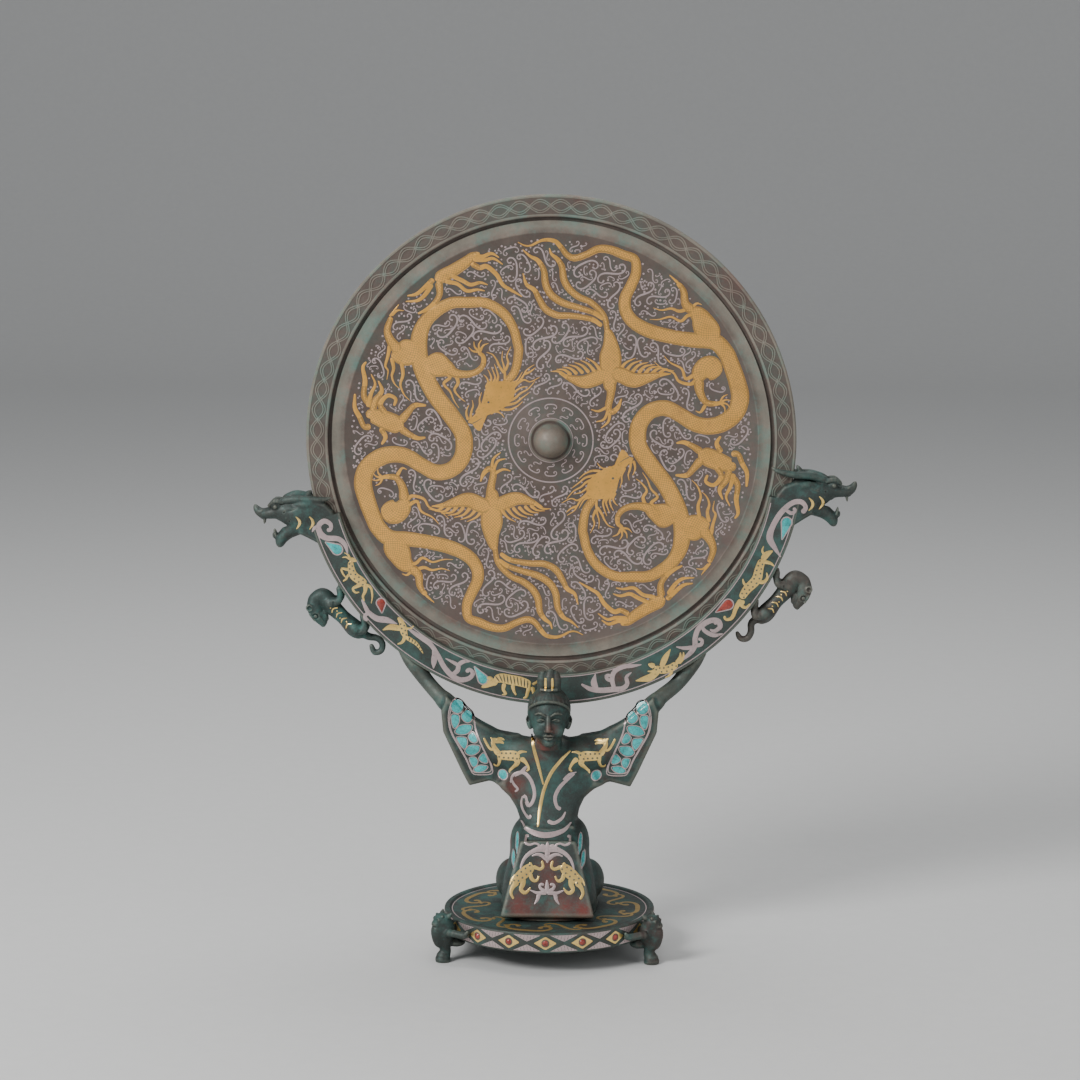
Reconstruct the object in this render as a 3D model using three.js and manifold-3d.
// An inlaid bronze mirror in a dragon-headed cradle, held up by a kneeling bearer on a footed tray.
// Millimetres, +Z up. The figure faces -Y, and +X is to the viewer's right.
import * as THREE from "three";
import { mergeVertices } from "three/addons/utils/BufferGeometryUtils.js";
import Module from "manifold-3d";

const wasm = await Module();
wasm.setup();

// Driving dimensions: fits
const FIT_GAP = 0.3; // between pieces that touch

// Driving dimensions: mirror
const MIRROR_RADIUS = 149.4;
const RIM_WIDTH = 13.4; // the raised flat ring round the ornament
const RIM_THICKNESS = 7;
const FIELD_THICKNESS = 2.6; // the plate behind the ornament, at its edge
const SLOPE_WIDTH = 9; // the plain band between the rim and the ornament
const SLOPE_RISE = 1.6;
const FACE_CROWN = 1.2; // how far the polished face swells at its centre
const KNOB_RADIUS = 10.7;
const KNOB_HEIGHT = 13.5;

// Driving dimensions: cradle
const CRADLE_FLOOR = 12.9; // bronze under the groove at its lowest point
const CRADLE_DROP = 9.6; // the crescent's own centre, below the mirror's centre
const CRADLE_SHIFT = 1; // the crescent's own centre, right of the mirror's centre
const CRADLE_FRONT = 16.5; // its front face, behind the tray's middle
const CRADLE_BAND_WIDTH = 18.8;
const CRADLE_LIP = 5.9; // front wall of the groove
const CRADLE_BACK = 3.5; // back wall of the groove
const CRADLE_BACK_HEIGHT = 4; // how far the back wall covers the mirror
const CRADLE_CHAMFER = 1.6;
const CRADLE_ROLL = 2.5; // degrees, right side up
const CRADLE_END_ANGLE = 12.5; // degrees below level where the band becomes a neck
const HEAD_LENGTH = 50; // a dragon's head, from the neck's corner to the tip of its nose
const HEAD_DEPTH = 14;
const BEAST_ANGLE = 38.5; // degrees below level where a climbing beast stands
const BEAST_LENGTH = 47;

// Driving dimensions: bearer
const BEARER_HEIGHT = 150; // from the tray to the top of the hair
const BEARER_TO_CRADLE = 123.1; // from the bearer's knees up to the underside of the cradle
const PRONG_ANGLE = 36.6; // degrees from straight down, where the prongs meet the cradle
const SLEEVE_DEPTH = 13;
const SLEEVE_MIDDLE = 13; // behind the tray's middle
const PANEL_DEPTH = 1.5; // turquoise set into the sleeves

// Driving dimensions: tray and feet
const TRAY_RADIUS = 64.5;
const TRAY_THICKNESS = 12.2;
const TRAY_RIM_WIDTH = 3;
const TRAY_RECESS = 1.2;
const TRAY_HEIGHT = 13.6; // its underside above what the feet stand on
const FOOT_COUNT = 3;
const HOOF_RADIUS = 5;
const HOOF_HEIGHT = 2.6;
const LOZENGE_COUNT = 18; // places round the tray's side
const CABOCHON_RADIUS = 1.8;
const CABOCHON_DOME = 1.1;
const CABOCHON_DEPTH = 1.6;
const CABOCHON_CLEAR_ANGLE = 13; // degrees each side of a foot that hold no stone

// Driving dimensions: drop-shaped stones in the cradle's front
const DROP_LENGTH = 9.5;
const DROP_WIDTH = 5.6;
const DROP_DEPTH = 1.5;

// Facets
const DISC_SIDES = 54;
const KNOB_SIDES = 18;
const ROUND_SIDES = 8;
const STONE_SIDES = 6;

// Heights and depths that follow from the sizes above
const trayTop = TRAY_HEIGHT + TRAY_THICKNESS;
const trayFloor = trayTop - TRAY_RECESS;
const bearerBase = trayFloor + FIT_GAP;
const cradleUnderside = bearerBase + BEARER_TO_CRADLE;
const grooveRadius = MIRROR_RADIUS + FIT_GAP;
const cradleOuterRadius = grooveRadius + CRADLE_FLOOR - CRADLE_DROP;
const cradleInnerRadius = cradleOuterRadius - CRADLE_BAND_WIDTH;
const cradleCentre = new THREE.Vector3(CRADLE_SHIFT, 0, cradleUnderside + cradleOuterRadius);
const mirrorCentre = new THREE.Vector3(0, 0, cradleCentre.z + CRADLE_DROP);
const grooveFront = CRADLE_FRONT + CRADLE_LIP;
const mirrorFront = grooveFront + FIT_GAP;
const mirrorBack = mirrorFront + RIM_THICKNESS;
const grooveBack = mirrorBack + FIT_GAP;
const cradleBack = grooveBack + CRADLE_BACK;
const cradleMiddle = (CRADLE_FRONT + cradleBack) / 2;
const figureScale = BEARER_HEIGHT / 150; // the bearer's points are drawn for a height of 150
const headScale = HEAD_LENGTH / 50; // a head's points are drawn for a length of 50
const beastScale = BEAST_LENGTH / 47; // a beast's points are drawn for a length of 47

const radians = THREE.MathUtils.degToRad;
const yAxis = new THREE.Vector3(0, 1, 0);

// Solids and geometry

function solidOf(geometry) {
  const bare = geometry.index ? geometry.toNonIndexed() : geometry.clone();
  bare.deleteAttribute("normal");
  bare.deleteAttribute("uv");
  const merged = mergeVertices(bare, 1e-4);
  const triVerts = new Uint32Array(merged.index.array);
  const vertProperties = merged.attributes.position.array;
  const made = new wasm.Manifold(new wasm.Mesh({ numProp: 3, vertProperties, triVerts }));
  if (made.volume() > 0) return made;
  for (let i = 0; i < triVerts.length; i += 3) {
    [triVerts[i + 1], triVerts[i + 2]] = [triVerts[i + 2], triVerts[i + 1]];
  }
  return new wasm.Manifold(new wasm.Mesh({ numProp: 3, vertProperties, triVerts }));
}

function geometryOf(solid) {
  const mesh = solid.getMesh();
  const positions = new Float32Array(mesh.numVert * 3);
  for (let i = 0; i < mesh.numVert; i++) {
    const start = i * mesh.numProp;
    positions.set(mesh.vertProperties.subarray(start, start + 3), i * 3);
  }
  const geometry = new THREE.BufferGeometry();
  geometry.setAttribute("position", new THREE.BufferAttribute(positions, 3));
  geometry.setIndex(new THREE.BufferAttribute(new Uint32Array(mesh.triVerts), 1));
  geometry.computeVertexNormals();
  return geometry;
}

function join(...solids) {
  return solids.reduce((whole, next) => whole.add(next));
}

function cut(solid, ...tools) {
  return tools.reduce((rest, tool) => rest.subtract(tool), solid);
}

// Shapes

// A solid of revolution about Y through a centre, from [radius, y] points that start and end on the axis.
function turnedAboutY(profile, centre, sides = DISC_SIDES) {
  const points = profile.map(([r, y]) => new THREE.Vector2(r, y));
  const geometry = new THREE.LatheGeometry(points, sides);
  return solidOf(geometry.translate(centre.x, centre.y, centre.z));
}

// The same about Z, from [radius, z] points.
function turnedAboutZ(profile, sides = DISC_SIDES) {
  const points = profile.map(([r, z]) => new THREE.Vector2(r, z));
  return solidOf(new THREE.LatheGeometry(points, sides).rotateX(Math.PI / 2));
}

function disc(centre, radius, y0, y1, sides = DISC_SIDES) {
  return turnedAboutY([[0, y0], [radius, y0], [radius, y1], [0, y1]], centre, sides);
}

// An outline in X and Z, extruded from y0 to y1, with its edges rounded off by bevel.
function slab(outline, y0, y1, bevel = 0) {
  const shape = new THREE.Shape(outline.map(([x, z]) => new THREE.Vector2(x, z)));
  const options = { depth: y1 - y0 - 2 * bevel, bevelEnabled: bevel > 0, steps: 1 };
  if (bevel > 0) {
    Object.assign(options, {
      bevelSize: bevel,
      bevelThickness: bevel,
      bevelOffset: -bevel,
      bevelSegments: 1,
    });
  }
  const geometry = new THREE.ExtrudeGeometry(shape, options);
  return solidOf(geometry.rotateX(Math.PI / 2).translate(0, y1 - bevel, 0));
}

function ball(x, y, z, rx, ry, rz, sides = ROUND_SIDES) {
  const rings = Math.ceil(sides * 0.5);
  const geometry = new THREE.SphereGeometry(1, sides, rings).rotateX(Math.PI / 2);
  return solidOf(geometry.scale(rx, ry, rz).translate(x, y, z));
}

// A tapering limb through points, each [x, y, z, radius]; depth stretches it along Y.
function limb(stations, { sides = 6, steps = stations.length, depth = 1 } = {}) {
  const path = new THREE.CatmullRomCurve3(stations.map(([x, y, z]) => new THREE.Vector3(x, y, z)));
  const geometry = new THREE.CylinderGeometry(1, 1, 1, sides, steps);
  const position = geometry.attributes.position;
  const last = stations.length - 1;
  for (let i = 0; i < position.count; i++) {
    const t = 0.5 - position.getY(i);
    const place = Math.min(t * last, last - 1e-6);
    const from = Math.floor(place);
    const radius = THREE.MathUtils.lerp(stations[from][3], stations[from + 1][3], place - from);
    const tangent = path.getTangent(t);
    const across = new THREE.Vector3().crossVectors(tangent, yAxis).normalize();
    const over = new THREE.Vector3().crossVectors(across, tangent).normalize();
    const point = path.getPoint(t);
    point.addScaledVector(across, position.getX(i) * radius);
    point.addScaledVector(over, position.getZ(i) * radius * depth);
    position.setXYZ(i, point.x, point.y, point.z);
  }
  return solidOf(geometry);
}

// A body stacked from level sections [z, y, half width, half depth], squarer than an ellipse by power.
function stacked(sections, power = 2.6, sides = 16) {
  const geometry = new THREE.CylinderGeometry(1, 1, 1, sides, sections.length - 1);
  const position = geometry.attributes.position;
  const square = (value) => Math.sign(value) * Math.abs(value) ** (2 / power);
  for (let i = 0; i < position.count; i++) {
    const level = Math.round((0.5 - position.getY(i)) * (sections.length - 1));
    const [z, y, halfWidth, halfDepth] = sections[level];
    const x = square(position.getX(i)) * halfWidth;
    position.setXYZ(i, x, y + square(position.getZ(i)) * halfDepth, z);
  }
  return solidOf(geometry);
}

// A drop: round at one end and pointed at the other, with its point towards +Z.
function dropOutline(width, length, sides = STONE_SIDES) {
  const radius = width / 2;
  const points = [[0, length - radius]];
  for (let i = 0; i <= sides; i++) {
    const angle = Math.PI * (i / sides);
    points.push([radius * Math.cos(angle) * -1, -radius * Math.sin(angle)]);
  }
  return points;
}

// Mirror: a raised flat rim, a sloped band, the flat ornamented field and the central knob.
// The face behind it is polished and slightly swollen.
function mirror() {
  const fieldFront = mirrorBack - FIELD_THICKNESS;
  const rimInner = MIRROR_RADIUS - RIM_WIDTH;
  const fieldRadius = rimInner - SLOPE_WIDTH;
  const edge = 0.8;
  const knobSteps = 6;
  const knob = [];
  for (let i = 0; i <= knobSteps; i++) {
    const angle = (Math.PI / 2) * (i / knobSteps);
    knob.push([KNOB_RADIUS * Math.sin(angle), fieldFront - KNOB_HEIGHT * Math.cos(angle)]);
  }
  const root = mirrorBack - FIELD_THICKNESS / 2;
  knob.push([KNOB_RADIUS, root], [0, root]);
  const crownSteps = 2;
  const face = [];
  for (let i = crownSteps; i >= 0; i--) {
    const share = i / crownSteps;
    face.push([MIRROR_RADIUS * share, mirrorBack - FACE_CROWN * share ** 2]);
  }
  const plate = [
    [0, fieldFront - FACE_CROWN],
    [fieldRadius, fieldFront - FACE_CROWN],
    [rimInner - edge, fieldFront - FACE_CROWN - SLOPE_RISE],
    [rimInner, mirrorFront + edge],
    [rimInner + edge, mirrorFront],
    [MIRROR_RADIUS - edge, mirrorFront],
    [MIRROR_RADIUS, mirrorFront + edge],
    ...face,
  ];
  return join(
    turnedAboutY(plate, mirrorCentre),
    turnedAboutY(knob, mirrorCentre, KNOB_SIDES),
  );
}

// Cradle: a crescent band with a groove for the mirror, each end a dragon's neck and head.
// It is drawn level about its own centre, and its group rolls and lifts it into place.
const origin = new THREE.Vector3();
const grooveCentre = mirrorCentre
  .clone()
  .sub(cradleCentre)
  .applyAxisAngle(yAxis, radians(CRADLE_ROLL));

function cradleBand() {
  const edge = CRADLE_CHAMFER;
  const outer = turnedAboutY(
    [
      [0, CRADLE_FRONT],
      [cradleOuterRadius - edge, CRADLE_FRONT],
      [cradleOuterRadius, CRADLE_FRONT + edge],
      [cradleOuterRadius, cradleBack - edge],
      [cradleOuterRadius - edge, cradleBack],
      [0, cradleBack],
    ],
    origin,
  );
  const beyond = 5;
  const windowCut = disc(origin, cradleInnerRadius, CRADLE_FRONT - beyond, grooveFront);
  const reach = 2 * cradleOuterRadius;
  const end = radians(CRADLE_END_ANGLE);
  const above = slab(
    [
      [0, 0],
      [reach * Math.cos(end), -reach * Math.sin(end)],
      [reach, reach],
      [-reach, reach],
      [-reach * Math.cos(end), -reach * Math.sin(end)],
    ],
    CRADLE_FRONT - beyond,
    cradleBack + beyond,
  );
  return cut(outer, windowCut, above);
}

// The groove that holds the mirror's rim, and the wider window behind it.
function mirrorSeat() {
  const groove = disc(grooveCentre, grooveRadius, grooveFront, grooveBack);
  const back = cradleBack + 5;
  return join(groove, disc(grooveCentre, grooveRadius - CRADLE_BACK_HEIGHT, grooveBack - 1, back));
}

// A dragon's head for the right end; the left end has its mirror image.
// Points are drawn from the corner of the neck, along the head and up.
const NECK_AND_HEAD = [
  [-4, -8],
  [-4, -24],
  [4, -24],
  [7, -21],
  [12.5, -17],
  [17, -14.8],
  [22, -12.6],
  [27.7, -11],
  [30.5, -15],
  [33.6, -21.6],
  [37.5, -17.5],
  [38.7, -13.2],
  [34.7, -9],
  [29.2, -5.6],
  [37, -4],
  [42, -4.4],
  [43.6, -7],
  [44.2, -3],
  [47, 0],
  [50, 6],
  [45.5, 3.4],
  [42.5, 6.6],
  [39, 6.8],
  [36.5, 4.4],
  [33.5, 8.6],
  [28.5, 9.8],
  [20.5, 10],
  [12.5, 8.8],
  [5, 6.5],
  [-1, -1],
];

function dragonHead(side, hornLift) {
  const cornerAngle = radians(CRADLE_END_ANGLE);
  const cornerX = cradleInnerRadius * Math.cos(cornerAngle) + 4;
  const cornerZ = -cradleInnerRadius * Math.sin(cornerAngle);
  const at = ([u, v]) => [side * (cornerX + u * headScale), cornerZ + v * headScale];
  const point = (u, y, v, radius) => {
    const [x, z] = at([u, v]);
    return [x, cradleMiddle + y * headScale, z, radius * headScale];
  };
  const half = HEAD_DEPTH / 2;
  const profile = NECK_AND_HEAD.map(at);
  const solids = [slab(profile, cradleMiddle - half, cradleMiddle + half, 1.4 * headScale)];
  for (const face of [-1, 1]) {
    const cheek = (half - 1) / headScale;
    solids.push(
      limb([
        point(30, face * 4, 7, 2),
        point(20, face * (cheek - 1), 7 + hornLift * 3, 1.9),
        point(9, face * cheek, 7 + hornLift * 6, 1.5),
        point(3 - hornLift * 4, face * (cheek - 1), 7.5 + hornLift * 9, 0.5),
      ]),
      limb([
        point(22, face * 3, 8.5, 1.8),
        point(17, face * 4, 11 + hornLift * 2, 1.4),
        point(13 + hornLift * 6, face * 4.5, 12 + hornLift * 5, 0.5),
      ]),
      ball(...point(35.5, face * half, 4.2, 0).slice(0, 3), 2, 1.6, 2, 5),
    );
  }
  return join(...solids);
}

function cradle() {
  const stones = dropPlaces().map((place) => dropSolid(place, FIT_GAP, DROP_DEPTH + FIT_GAP, 1));
  return cut(join(cradleBand(), dragonHead(-1, 0), dragonHead(1, 0.9)), mirrorSeat(), ...stones);
}

// Drop-shaped stones in the cradle's front face. Each is [angle from straight down, how far its round
// end lies inside the band's middle line, turn of its point from +Z], angles in degrees.
const TURQUOISE_DROPS = [
  [-69, 0, 55],
  [-19.8, 0.4, 29],
  [72.4, -4.2, 163],
];
const CARNELIAN_DROPS = [
  [-52, 5, 183],
  [48, 3.1, 120],
];

function dropPlaces() {
  return [...TURQUOISE_DROPS, ...CARNELIAN_DROPS];
}

function dropSolid([angle, inward, turn], margin, depth, proud) {
  const outline = dropOutline(DROP_WIDTH + 2 * margin, DROP_LENGTH + 2 * margin);
  const distance = (cradleOuterRadius + cradleInnerRadius) / 2 - inward;
  const around = radians(angle);
  const spin = radians(turn);
  const placed = outline.map(([x, z]) => [
    distance * Math.sin(around) + x * Math.cos(spin) - z * Math.sin(spin),
    -distance * Math.cos(around) + x * Math.sin(spin) + z * Math.cos(spin),
  ]);
  return slab(placed, CRADLE_FRONT - proud, CRADLE_FRONT + depth);
}

// A beast that climbs the outside of the cradle, on the right; the left one is its mirror image.
// Points are [along the band upwards, depth, out from the band, radius].
function climbingBeast(side, tail) {
  const slope = radians(BEAST_ANGLE);
  const out = [Math.cos(slope), -Math.sin(slope)];
  const up = [Math.sin(slope), Math.cos(slope)];
  const point = (u, y, v, radius) => [
    side * (out[0] * (cradleOuterRadius + v * beastScale) + up[0] * u * beastScale),
    cradleMiddle + y * beastScale,
    out[1] * (cradleOuterRadius + v * beastScale) + up[1] * u * beastScale,
    radius * beastScale,
  ];
  const solids = [
    limb([point(-5, 0, 9, 4.2), point(-1, 0, 9.5, 5.2), point(8, 0, 10, 4), point(17, 0, 11, 4.8),
      point(23, 0, 11, 5)], { sides: 7 }),
    limb([point(20, 0, 10, 4.6), point(27, 0, 10.5, 4), point(28.5, 0, 16, 4), point(23, 0, 20, 4.2),
      point(16, 0, 21.5, 3.4), point(12.5, 0, 22.5, 2)], { sides: 6, steps: 7 }),
    limb(tail.map(([u, v, radius]) => point(u, 0, v, radius)), { sides: 5, steps: tail.length + 3 }),
  ];
  for (const face of [-1, 1]) {
    solids.push(
      limb([point(21, face * 3.4, 9, 2.8), point(19, face * 4.6, 5, 2.2), point(20.5, face * 4.4, -3, 2.4)],
        { sides: 5, steps: 2 }),
      limb([point(-2, face * 3.4, 8, 3.6), point(-5, face * 4.6, 5, 2.6), point(-1, face * 4.2, -3, 2.4)],
        { sides: 5, steps: 2 }),
      limb([point(25, face * 2.6, 22, 1.5), point(27.5, face * 4, 24.5, 0.5)], { sides: 4, steps: 1 }),
    );
  }
  const clear = disc(origin, cradleOuterRadius + FIT_GAP, CRADLE_FRONT - 5, cradleBack + 5);
  return cut(join(...solids), clear);
}

const RING_TAIL = [
  [-4, 9, 2.6],
  [-10.7, 6.4, 2],
  [-15, 2.6, 1.8],
  [-20, 3, 1.7],
  [-23, 7, 1.6],
  [-20.5, 10.6, 1.5],
  [-17, 8.6, 1.2],
];
const HOOK_TAIL = [
  [-4, 9, 2.6],
  [-11, 6.2, 2],
  [-15.8, 9.2, 1.9],
  [-20.5, 9.8, 1.8],
  [-23, 6.5, 1.6],
  [-21.5, 2.8, 1.2],
];

// Bearer: a kneeling figure with raised arms in wide sleeves, whose hands run on as two prongs.
function onFigure([x, y, z, ...radii]) {
  return [x, y, z, ...radii].map((value) => value * figureScale);
}

// The sleeve on the right, in X and Z; the left one is its mirror image.
const SLEEVE = [
  [63.5, 130],
  [66.7, 120.6],
  [65.5, 107.6],
  [54, 82.6],
  [49.5, 73.9],
  [37, 77.1],
  [25, 73.6],
  [14, 72],
  [8, 96],
  [19.5, 105.1],
  [33.5, 107.6],
  [46.5, 115.6],
];

// The turquoise panel along the sleeve's mouth.
const SLEEVE_PANEL = [
  [61.5, 126.5],
  [64.2, 119.5],
  [63, 108],
  [51.5, 83],
  [48.3, 77.6],
  [42, 79.4],
  [46, 92],
  [52, 108],
  [56, 118],
];

function onSleeve(outline, side) {
  return outline.map(([x, z]) => [side * x * figureScale, z * figureScale]);
}

function bearerBody() {
  const sections = [
    [0, -4, 28.5, 31],
    [8, -4, 29, 31.5],
    [20, -3, 27.5, 29],
    [32, -2, 24.5, 25.5],
    [42, -1, 20.5, 21],
    [49, 1, 16.6, 15.5],
    [54, 3, 15.6, 12.5],
    [64, 6, 17, 11.5],
    [76, 9, 20, 12],
    [88, 11, 23.5, 11.5],
    [97, 11, 21.5, 10.5],
    [103, 9, 13, 9],
    [107, 6, 7.2, 7.6],
    [114, 1, 6.6, 7],
  ].map(onFigure);
  return stacked(sections);
}

function bearerHead() {
  const s = figureScale;
  return join(
    ball(0, -5.5 * s, 119.5 * s, 10.6 * s, 12 * s, 17.2 * s, 14),
    ball(0, -1.5 * s, 124.5 * s, 13.4 * s, 12.6 * s, 13.8 * s, 14),
    ball(-2.8 * s, -3 * s, 142.5 * s, 4.4 * s, 5.5 * s, 7.5 * s),
    ball(2.8 * s, -3 * s, 142.5 * s, 4.4 * s, 5.5 * s, 7.5 * s),
    ball(-11.2 * s, -5 * s, 117.5 * s, 1.8 * s, 3 * s, 4.6 * s, 6),
    ball(11.2 * s, -5 * s, 117.5 * s, 1.8 * s, 3 * s, 4.6 * s, 6),
    limb([[0, -16.4, 122, 1], [0, -18, 117.5, 1.6], [0, -17.4, 114.6, 2.3]].map(onFigure),
      { sides: 5, steps: 2 }),
  );
}

// The flat panel of the skirt, from the waist down over the knees.
function apron() {
  const rise = 44;
  const run = 14.5;
  const length = Math.hypot(rise, run);
  const outline = [[-28.5, 0], [28.5, 0], [17, length], [-17, length]];
  const shape = new THREE.Shape(outline.map(([x, y]) => new THREE.Vector2(x, y)));
  const geometry = new THREE.ExtrudeGeometry(shape, {
    depth: 6,
    bevelThickness: 1.4,
    bevelSize: 1.4,
    bevelOffset: -1.4,
    bevelSegments: 1,
  });
  geometry.rotateX(Math.PI / 2 - Math.atan2(run, rise)).translate(0, -30.6, 1);
  return solidOf(geometry.scale(figureScale, figureScale, figureScale));
}

function bearer() {
  const solids = [bearerBody(), bearerHead(), apron()];
  const halfSleeve = SLEEVE_DEPTH / 2;
  const middle = SLEEVE_MIDDLE * figureScale;
  const front = middle - halfSleeve;
  const hollows = [];
  const prong = radians(PRONG_ANGLE);
  const seat = BEARER_TO_CRADLE + cradleOuterRadius * (1 - Math.cos(prong));
  const seatX = cradleOuterRadius * Math.sin(prong);
  for (const side of [-1, 1]) {
    solids.push(
      slab(onSleeve(SLEEVE, side), front, middle + halfSleeve, 1.8 * figureScale),
      limb([
        [side * 56 * figureScale, middle, 118 * figureScale, 5],
        [side * 65 * figureScale, middle + 1, 125.5 * figureScale, 4.2],
        [cradleCentre.x + side * (seatX - 14), cradleMiddle - 4, seat - 17, 4],
        [cradleCentre.x + side * (seatX - 2), cradleMiddle, seat - 2, 4.6],
        [cradleCentre.x + side * (seatX + 3), cradleMiddle, seat + 5, 3],
      ], { sides: 7, depth: 1.1 }),
      ball(...onFigure([side * 23, 13, 14, 10.5, 15, 13])),
      ball(...onFigure([side * 15, 9, 38, 9.5, 14, 16])),
    );
    const panel = onSleeve(SLEEVE_PANEL, side);
    hollows.push(slab(grown(panel, FIT_GAP), front - 1, front + PANEL_DEPTH + FIT_GAP));
  }
  const cradleClear = disc(
    new THREE.Vector3(cradleCentre.x, 0, cradleCentre.z - bearerBase),
    cradleOuterRadius + FIT_GAP,
    CRADLE_FRONT - FIT_GAP,
    cradleBack + 5,
  );
  return cut(join(...solids), ...hollows, cradleClear);
}

function sleevePanel(side) {
  const front = SLEEVE_MIDDLE * figureScale - SLEEVE_DEPTH / 2;
  return slab(onSleeve(SLEEVE_PANEL, side), front, front + PANEL_DEPTH);
}

// An outline moved out from its own centre by about a margin.
function grown(outline, margin) {
  const centreX = outline.reduce((sum, [x]) => sum + x, 0) / outline.length;
  const centreZ = outline.reduce((sum, [, z]) => sum + z, 0) / outline.length;
  return outline.map(([x, z]) => {
    const distance = Math.hypot(x - centreX, z - centreZ);
    const share = 1 + (2.2 * margin) / distance;
    return [centreX + (x - centreX) * share, centreZ + (z - centreZ) * share];
  });
}

// Tray: a disc with a low rim and round sockets for the cabochons in its side.
function cabochonAngles() {
  const angles = [];
  for (let i = 0; i < LOZENGE_COUNT; i++) {
    const angle = (360 / LOZENGE_COUNT) * i - 90;
    const fromFoot = footAngles().map((foot) => Math.abs(((angle - foot + 540) % 360) - 180));
    if (Math.min(...fromFoot) > CABOCHON_CLEAR_ANGLE) angles.push(angle);
  }
  return angles;
}

function footAngles() {
  const angles = [];
  for (let i = 0; i < FOOT_COUNT; i++) angles.push(90 + (360 / FOOT_COUNT) * i);
  return angles;
}

// A cabochon points along +X, with its back at x0 and a low dome above x1.
function cabochonSolid(radius, x0, x1, dome) {
  const profile = [[0, x0], [radius, x0], [radius * 0.9, x1 + dome * 0.5], [0, x1 + dome]];
  const geometry = new THREE.LatheGeometry(
    profile.map(([r, x]) => new THREE.Vector2(r, x)),
    STONE_SIDES,
  );
  return geometry.rotateZ(-Math.PI / 2);
}

function placedCabochon(angle, geometry) {
  return solidOf(geometry.rotateZ(radians(angle)).translate(0, 0, TRAY_HEIGHT + TRAY_THICKNESS / 2));
}

function cabochon(angle) {
  const seat = TRAY_RADIUS - CABOCHON_DEPTH;
  return placedCabochon(angle, cabochonSolid(CABOCHON_RADIUS, seat, TRAY_RADIUS, CABOCHON_DOME));
}

function tray() {
  const edge = 0.8;
  const body = turnedAboutZ([
    [0, TRAY_HEIGHT],
    [TRAY_RADIUS - edge, TRAY_HEIGHT],
    [TRAY_RADIUS, TRAY_HEIGHT + edge],
    [TRAY_RADIUS, trayTop - edge],
    [TRAY_RADIUS - edge, trayTop],
    [TRAY_RADIUS - TRAY_RIM_WIDTH, trayTop],
    [TRAY_RADIUS - TRAY_RIM_WIDTH - TRAY_RECESS, trayFloor],
    [0, trayFloor],
  ]);
  const seat = TRAY_RADIUS - CABOCHON_DEPTH - FIT_GAP;
  const sockets = cabochonAngles().map((angle) =>
    placedCabochon(angle, cabochonSolid(CABOCHON_RADIUS + FIT_GAP, seat, TRAY_RADIUS + 1, 1)),
  );
  return cut(body, ...sockets);
}

// A foot: a beast that stands on one hoof and holds the tray's edge with two arms.
// It is drawn along +X, and turned to its place.
function foot(angle) {
  const shoulder = TRAY_RADIUS + 7;
  const armHeight = TRAY_HEIGHT + TRAY_THICKNESS * 0.45;
  const solids = [
    turnedAboutZ([[0, 0], [HOOF_RADIUS, 0], [HOOF_RADIUS, HOOF_HEIGHT * 0.6],
      [HOOF_RADIUS * 0.75, HOOF_HEIGHT], [0, HOOF_HEIGHT]], 10).translate([shoulder + 1.5, 0, 0]),
    limb([
      [shoulder + 1.5, 0, HOOF_HEIGHT * 0.7, 3.6],
      [shoulder - 0.5, 0, TRAY_HEIGHT * 0.42, 2.7],
      [shoulder + 0.6, 0, TRAY_HEIGHT * 0.8, 3.6],
      [shoulder, 0, armHeight, 6],
      [shoulder + 1, 0, trayTop - 2, 5],
    ], { sides: 7 }),
    ball(shoulder + 2, 0, trayTop, 5.4, 5, 4.8),
    ball(shoulder + 6.4, 0, trayTop - 1.6, 3, 3.4, 2.6, 6),
    ball(TRAY_RADIUS - 0.5, 0, TRAY_HEIGHT - 2.4, 5.5, 5.5, 2.8, 6),
  ];
  for (const side of [-1, 1]) {
    solids.push(
      limb([
        [shoulder + 1, side * 3, armHeight - 1, 3],
        [shoulder, side * 8.5, armHeight, 2.2],
        [shoulder - 4.5, side * 13.5, armHeight - 0.5, 2.2],
        [TRAY_RADIUS - 2.5, side * 15.5, armHeight, 2],
      ], { sides: 5, steps: 4 }),
      limb([
        [shoulder + 0.5, side * 3, trayTop + 2, 1.8],
        [shoulder - 1.5, side * 5.4, trayTop + 5, 0.5],
      ], { sides: 4, steps: 1 }),
    );
  }
  const trayClear = turnedAboutZ([
    [0, TRAY_HEIGHT - FIT_GAP],
    [TRAY_RADIUS + FIT_GAP, TRAY_HEIGHT - FIT_GAP],
    [TRAY_RADIUS + FIT_GAP, trayTop + 20],
    [0, trayTop + 20],
  ]);
  return cut(join(...solids).rotate([0, 0, angle]), trayClear);
}

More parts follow.
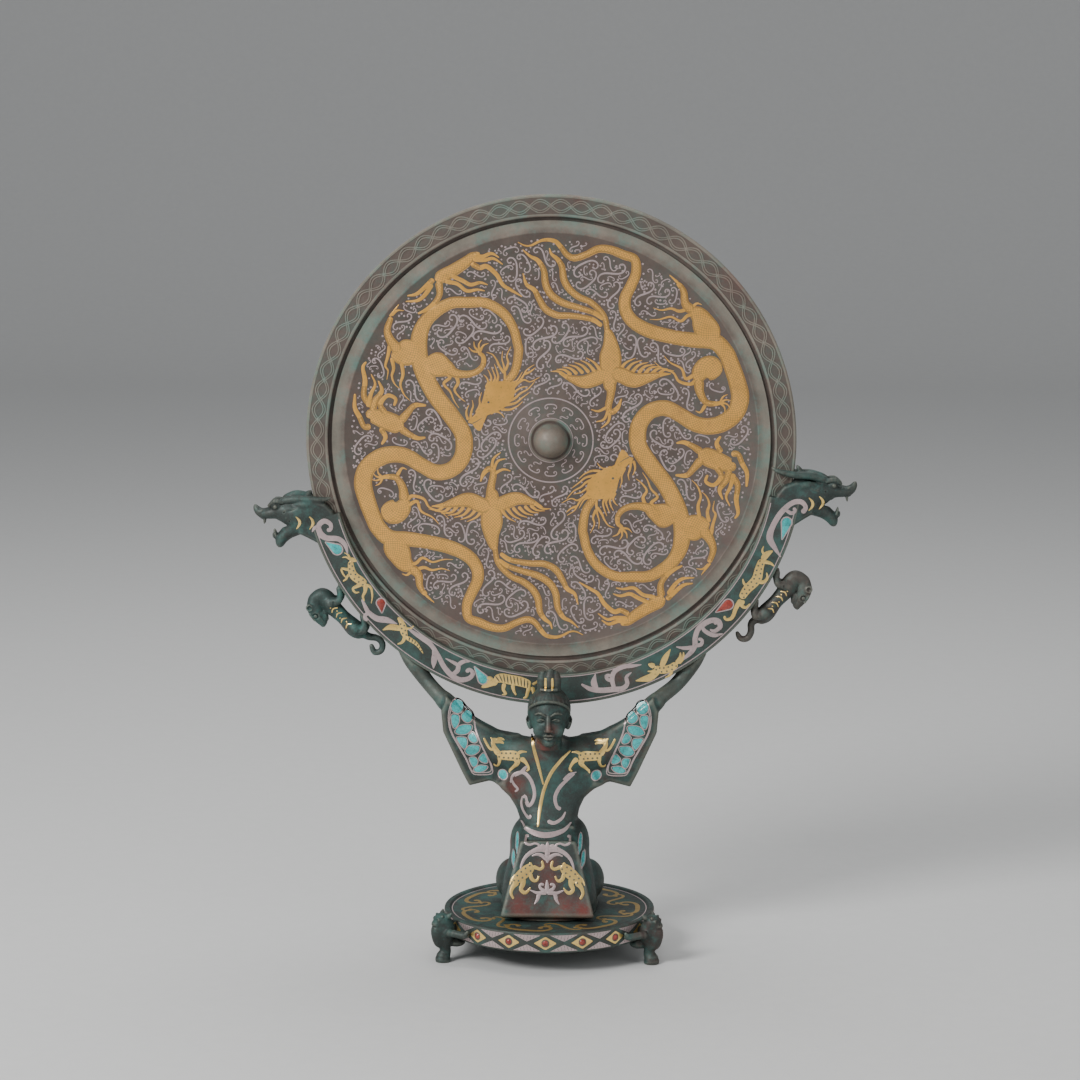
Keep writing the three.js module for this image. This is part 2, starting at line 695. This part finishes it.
// Finishes
function finish(color, roughness, metalness) {
  return new THREE.MeshStandardMaterial({ color, roughness, metalness });
}
const mirrorBronze = finish(0x6e6259, 0.45, 0.85);
const greenBronze = finish(0x466e69, 0.55, 0.8);
const darkBronze = finish(0x3f4a44, 0.6, 0.75);
const turquoise = finish(0x3aa6a0, 0.4, 0);
const carnelian = finish(0x9a3020, 0.3, 0);

function place(parent, name, solid, material) {
  const mesh = new THREE.Mesh(geometryOf(solid), material);
  mesh.name = name;
  parent.add(mesh);
  return mesh;
}

const stand = new THREE.Group();
place(stand, "tray", tray(), greenBronze);
cabochonAngles().forEach((angle, i) => {
  place(stand, "cabochon_" + String(i + 1).padStart(2, "0"), cabochon(angle), carnelian);
});
const FOOT_NAMES = ["foot_back", "foot_front_left", "foot_front_right"];
footAngles().forEach((angle, i) => {
  place(stand, FOOT_NAMES[i] ?? "foot_" + (i + 1), foot(angle), darkBronze);
});

const figure = new THREE.Group();
figure.position.z = bearerBase;
place(figure, "bearer", bearer(), greenBronze);
place(figure, "left_sleeve_turquoise", sleevePanel(-1), turquoise);
place(figure, "right_sleeve_turquoise", sleevePanel(1), turquoise);

const crescent = new THREE.Group();
crescent.position.copy(cradleCentre);
crescent.rotation.y = -radians(CRADLE_ROLL);
place(crescent, "mirror_cradle", cradle(), greenBronze);
place(crescent, "left_climbing_beast", climbingBeast(-1, RING_TAIL), darkBronze);
place(crescent, "right_climbing_beast", climbingBeast(1, HOOK_TAIL), darkBronze);
TURQUOISE_DROPS.forEach((drop, i) => {
  place(crescent, "turquoise_drop_" + (i + 1), dropSolid(drop, 0, DROP_DEPTH, 0), turquoise);
});
CARNELIAN_DROPS.forEach((drop, i) => {
  place(crescent, "carnelian_drop_" + (i + 1), dropSolid(drop, 0, DROP_DEPTH, 0), carnelian);
});

// The whole stands on its hooves, with the origin under the middle of its bounding box.
const whole = new THREE.Group();
whole.add(stand, figure, crescent);
place(whole, "mirror", mirror(), mirrorBronze);
const box = new THREE.Box3().setFromObject(whole, true);
whole.position.set(-(box.min.x + box.max.x) / 2, -(box.min.y + box.max.y) / 2, -box.min.z);
const group = new THREE.Group();
group.add(whole);

export default group;
